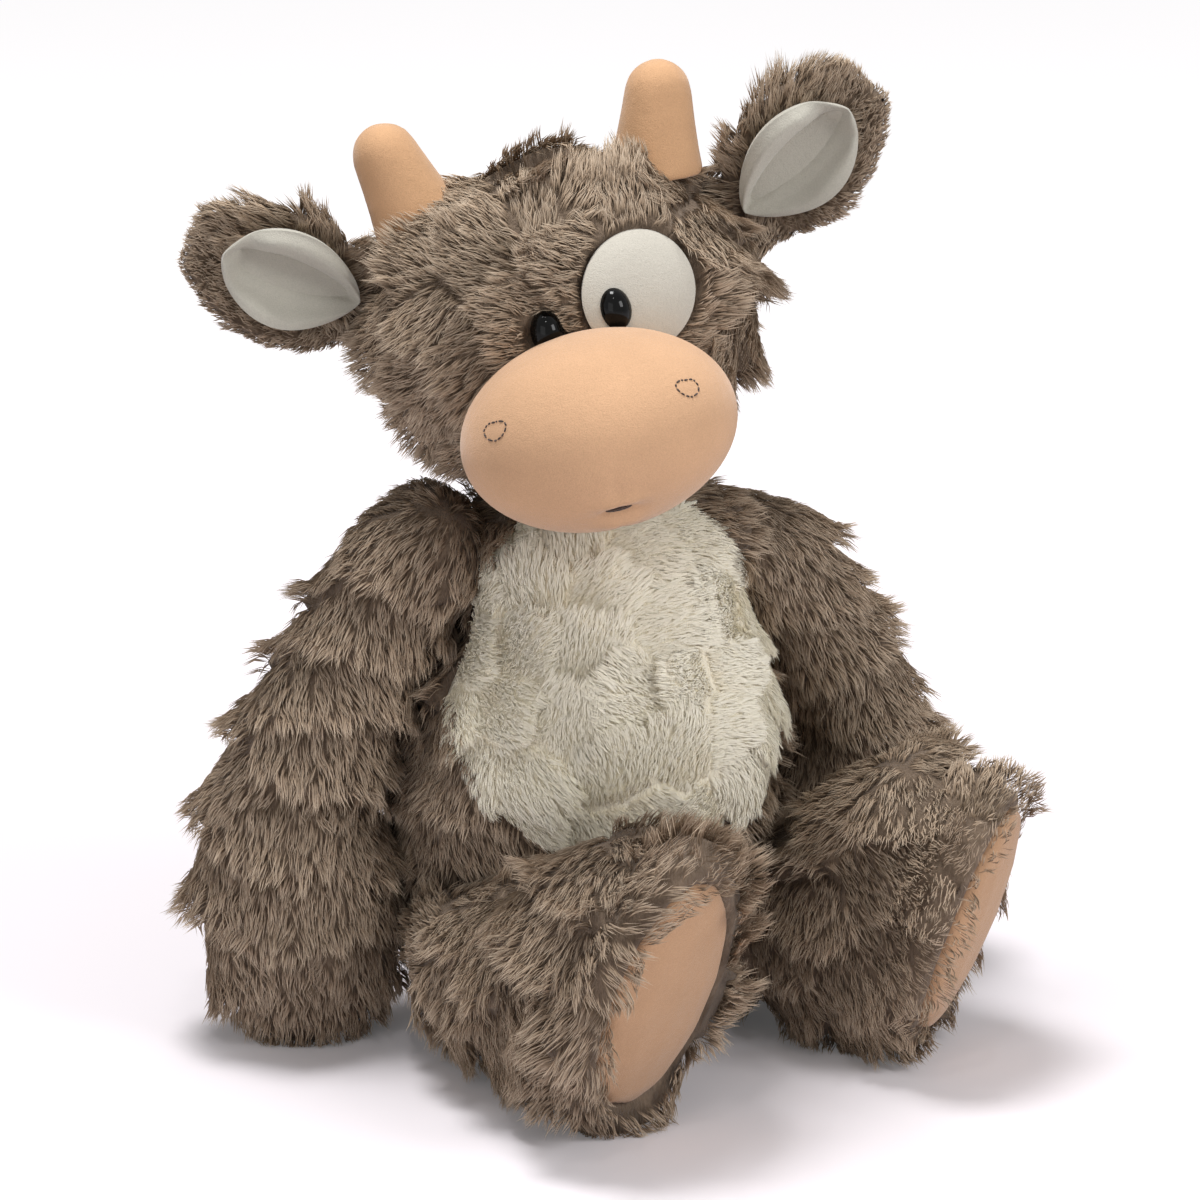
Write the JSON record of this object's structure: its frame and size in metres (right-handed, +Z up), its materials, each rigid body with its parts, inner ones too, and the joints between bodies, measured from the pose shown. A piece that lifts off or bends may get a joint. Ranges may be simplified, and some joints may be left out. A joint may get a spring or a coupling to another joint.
{
  "type": "plush cow",
  "caption": "Seated plush cow with long taupe fur, cream belly, smooth muzzle, horns and soles, and a head, limbs, ears and tail that turn at their seams.",
  "frame": {"origin": "middle of the flat seat that the torso sits on", "axes": "-Y is the way the torso faces, +X is the toy's left, +Z is up"},
  "size_m": [0.2421, 0.2486, 0.2884],
  "materials": {
    "taupe_fur": "long matt pile",
    "cream_fur": "curly matt pile",
    "peach_velour": "short matt pile",
    "white_velour": "short matt pile",
    "fibre_filling": "matt fibre",
    "pellet_cloth": "matt cloth",
    "black_gloss": "high gloss",
    "white_plastic": "satin",
    "seam_thread": "matt thread",
    "brown_thread": "matt thread"
  },
  "bodies": {
    "torso": {"belly_panel": "cream_fur", "pellet_bag": "pellet_cloth", "torso_filling": "fibre_filling", "torso_plush": "taupe_fur"},
    "neck_turn": {"neck_stitching": "seam_thread"},
    "neck_nod": {"neck_filling": "fibre_filling"},
    "head": {"eye_patch": "white_velour", "head_filling": "fibre_filling", "head_plush": "taupe_fur", "left_eye": "black_gloss", "left_eye_washer": "white_plastic", "left_horn": "peach_velour", "left_horn_filling": "fibre_filling", "left_nostril_stitching": "brown_thread", "mouth_stitching": "brown_thread", "muzzle_filling": "fibre_filling", "muzzle_plush": "peach_velour", "right_eye": "black_gloss", "right_eye_washer": "white_plastic", "right_horn": "peach_velour", "right_horn_filling": "fibre_filling", "right_nostril_stitching": "brown_thread"},
    "right_ear": {"right_ear_lining": "white_velour", "right_ear_plush": "taupe_fur"},
    "right_shoulder": {"right_shoulder_stitching": "seam_thread"},
    "right_arm": {"right_arm_filling": "fibre_filling", "right_arm_plush": "taupe_fur"},
    "right_hip": {"right_hip_stitching": "seam_thread"},
    "right_leg": {"right_foot_pad": "peach_velour", "right_leg_filling": "fibre_filling", "right_leg_plush": "taupe_fur"},
    "left_ear": {"left_ear_lining": "white_velour", "left_ear_plush": "taupe_fur"},
    "left_shoulder": {"left_shoulder_stitching": "seam_thread"},
    "left_arm": {"left_arm_filling": "fibre_filling", "left_arm_plush": "taupe_fur"},
    "left_hip": {"left_hip_stitching": "seam_thread"},
    "left_leg": {"left_foot_pad": "peach_velour", "left_leg_filling": "fibre_filling", "left_leg_plush": "taupe_fur"},
    "tail": {"tail_plush": "taupe_fur", "tail_stitching": "seam_thread", "tail_tuft": "taupe_fur"}
  },
  "joints": [
    {"name": "head_turn", "type": "hinge", "parent": "torso", "child": "neck_turn", "pos_m": [0.00438, 0, 0.166], "axis": [0, 0, 1], "range_deg": [-32, 58]},
    {"name": "head_nod", "type": "hinge", "parent": "neck_turn", "child": "neck_nod", "pos_m": [0.00438, 0, 0.166], "axis": [0.9744, -0.225, 0], "range_deg": [-15, 15]},
    {"name": "head_tilt", "type": "hinge", "parent": "neck_nod", "child": "head", "pos_m": [0.00438, 0, 0.166], "axis": [-0.225, -0.9744, 0], "range_deg": [-30, 7]},
    {"name": "right_arm_swing", "type": "hinge", "parent": "torso", "child": "right_shoulder", "pos_m": [-0.054, 0, 0.144], "axis": [-0.9397, 0.342, 0], "range_deg": [-8, 90]},
    {"name": "right_arm_spread", "type": "hinge", "parent": "right_shoulder", "child": "right_arm", "pos_m": [-0.054, 0, 0.144], "axis": [0.342, 0.9397, 0], "range_deg": [0, 75]},
    {"name": "right_leg_lift", "type": "hinge", "parent": "torso", "child": "right_hip", "pos_m": [-0.04206, -0.03794, 0.032], "axis": [-0.9272, -0.3746, 0], "range_deg": [-25, 10]},
    {"name": "right_leg_spread", "type": "hinge", "parent": "right_hip", "child": "right_leg", "pos_m": [-0.04206, -0.03794, 0.032], "axis": [0, 0, -1], "range_deg": [0, 40]},
    {"name": "right_ear_flop", "type": "hinge", "parent": "head", "child": "right_ear", "pos_m": [-0.06191, 0.0153, 0.21647], "axis": [0.3729, -0.0861, 0.9239], "range_deg": [-30, 30]},
    {"name": "left_arm_swing", "type": "hinge", "parent": "torso", "child": "left_shoulder", "pos_m": [0.0565, 0, 0.136], "axis": [-0.6691, -0.7431, 0], "range_deg": [-4, 90]},
    {"name": "left_arm_spread", "type": "hinge", "parent": "left_shoulder", "child": "left_arm", "pos_m": [0.0565, 0, 0.136], "axis": [0.7431, -0.6691, 0], "range_deg": [0, 75]},
    {"name": "left_leg_lift", "type": "hinge", "parent": "torso", "child": "left_hip", "pos_m": [0.04206, -0.02006, 0.032], "axis": [-0.7547, -0.6561, 0], "range_deg": [-25, 10]},
    {"name": "left_leg_spread", "type": "hinge", "parent": "left_hip", "child": "left_leg", "pos_m": [0.04206, -0.02006, 0.032], "axis": [0, 0, 1], "range_deg": [-20, 10]},
    {"name": "left_ear_flop", "type": "hinge", "parent": "head", "child": "left_ear", "pos_m": [0.04368, -0.00907, 0.24049], "axis": [0.7184, -0.1659, -0.6756], "range_deg": [-30, 30]},
    {"name": "tail_swing", "type": "hinge", "parent": "torso", "child": "tail", "pos_m": [0, 0.049, 0.025], "axis": [1, 0, 0], "range_deg": [0, 60]}
  ]
}
